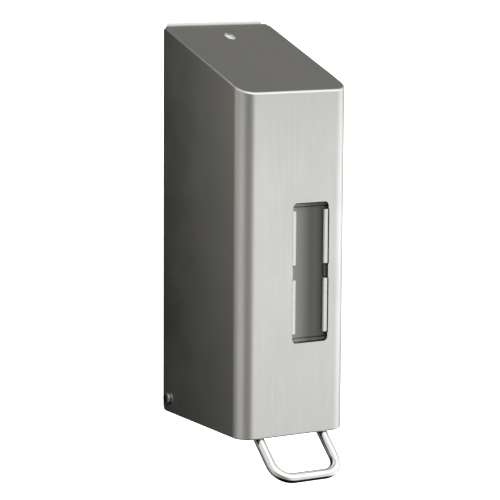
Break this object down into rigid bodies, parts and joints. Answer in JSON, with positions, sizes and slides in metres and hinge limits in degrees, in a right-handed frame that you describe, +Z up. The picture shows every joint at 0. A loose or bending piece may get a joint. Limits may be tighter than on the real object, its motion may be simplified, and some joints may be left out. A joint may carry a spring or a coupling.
{
  "type": "wall mounted soap dispenser",
  "caption": "Slim wall mounted soap dispenser: brushed steel hood with sloped top and viewing window, wire bail lever, bottle and bottom pump inside.",
  "frame": {"origin": "middle of the flat back of the wall plate, on the wall", "axes": "+X to the right seen from the front, -Y out of the wall towards the user, +Z up"},
  "size_m": [0.0862, 0.1358, 0.2948],
  "materials": {
    "brushed_steel": "fine upright brushed grain",
    "polished_steel": "polished",
    "plain_steel": "mill finish sheet",
    "spring_steel": "drawn wire and strip",
    "smoked_plastic": "smoked clear plastic",
    "white_plastic": "moulded satin",
    "natural_plastic": "blow moulded, slightly translucent",
    "grey_plastic": "moulded satin",
    "rubber": "moulded"
  },
  "bodies": {
    "wall_unit": {"wall_plate": "plain_steel", "hinge_pin_left": "polished_steel", "hinge_pin_right": "polished_steel", "hinge_washer_left": "white_plastic", "hinge_washer_right": "white_plastic", "bottle_shelf": "plain_steel", "shelf_screw_left": "plain_steel", "shelf_screw_right": "plain_steel", "refill_bottle": "natural_plastic", "filler_cap": "grey_plastic", "bottle_clip": "spring_steel", "clip_rivet": "plain_steel", "latch_bracket": "plain_steel", "latch_rivet_left": "plain_steel", "latch_rivet_right": "plain_steel", "latch_pin": "plain_steel", "latch_spring": "spring_steel", "pump_union_nut": "grey_plastic", "pump_gasket": "rubber", "pump_cylinder": "white_plastic", "inlet_valve": "rubber", "pump_spring": "spring_steel"},
    "plunger": {"pump_stem": "white_plastic", "piston_seal": "rubber", "outlet_valve": "rubber", "spout_nozzle": "grey_plastic"},
    "hood": {"hood_shell": "brushed_steel", "window_pane": "smoked_plastic", "window_strip_lower_left": "white_plastic", "window_strip_lower_right": "white_plastic", "window_strip_upper_left": "white_plastic", "window_strip_upper_right": "white_plastic", "strike_plate": "plain_steel", "lever_bracket": "plain_steel", "lever_pivot_pin": "plain_steel", "retaining_ring_left": "spring_steel", "retaining_ring_right": "spring_steel"},
    "lever": {"lever_rocker": "grey_plastic", "bail_lever": "polished_steel"},
    "latch": {"latch_body": "white_plastic"}
  },
  "joints": [
    {"name": "hood_hinge", "type": "hinge", "parent": "wall_unit", "child": "hood", "pos_m": [0, -0.011, -0.1254], "axis": [1, 0, 0], "range_deg": [0, 70]},
    {"name": "lever_press", "type": "hinge", "parent": "hood", "child": "lever", "pos_m": [0, -0.09, -0.1211], "axis": [1, 0, 0], "range_deg": [0, 14.5], "stiffness_Nm_per_rad": 1.5, "springref_deg": -11.46},
    {"name": "pump_stroke", "type": "slide", "parent": "wall_unit", "child": "plunger", "axis": [0, 0, 1], "range_m": [0, 0.009], "deforming": ["pump_spring"]},
    {"name": "latch_press", "type": "hinge", "parent": "wall_unit", "child": "latch", "pos_m": [0, -0.036, 0.108], "axis": [-1, 0, 0], "range_deg": [0, 12], "stiffness_Nm_per_rad": 0.15, "springref_deg": -17.19, "deforming": ["latch_spring"]}
  ],
  "couplings": [
    {"joint": "pump_stroke", "follows": "lever_press", "m_per_rad": 0.035}
  ]
}
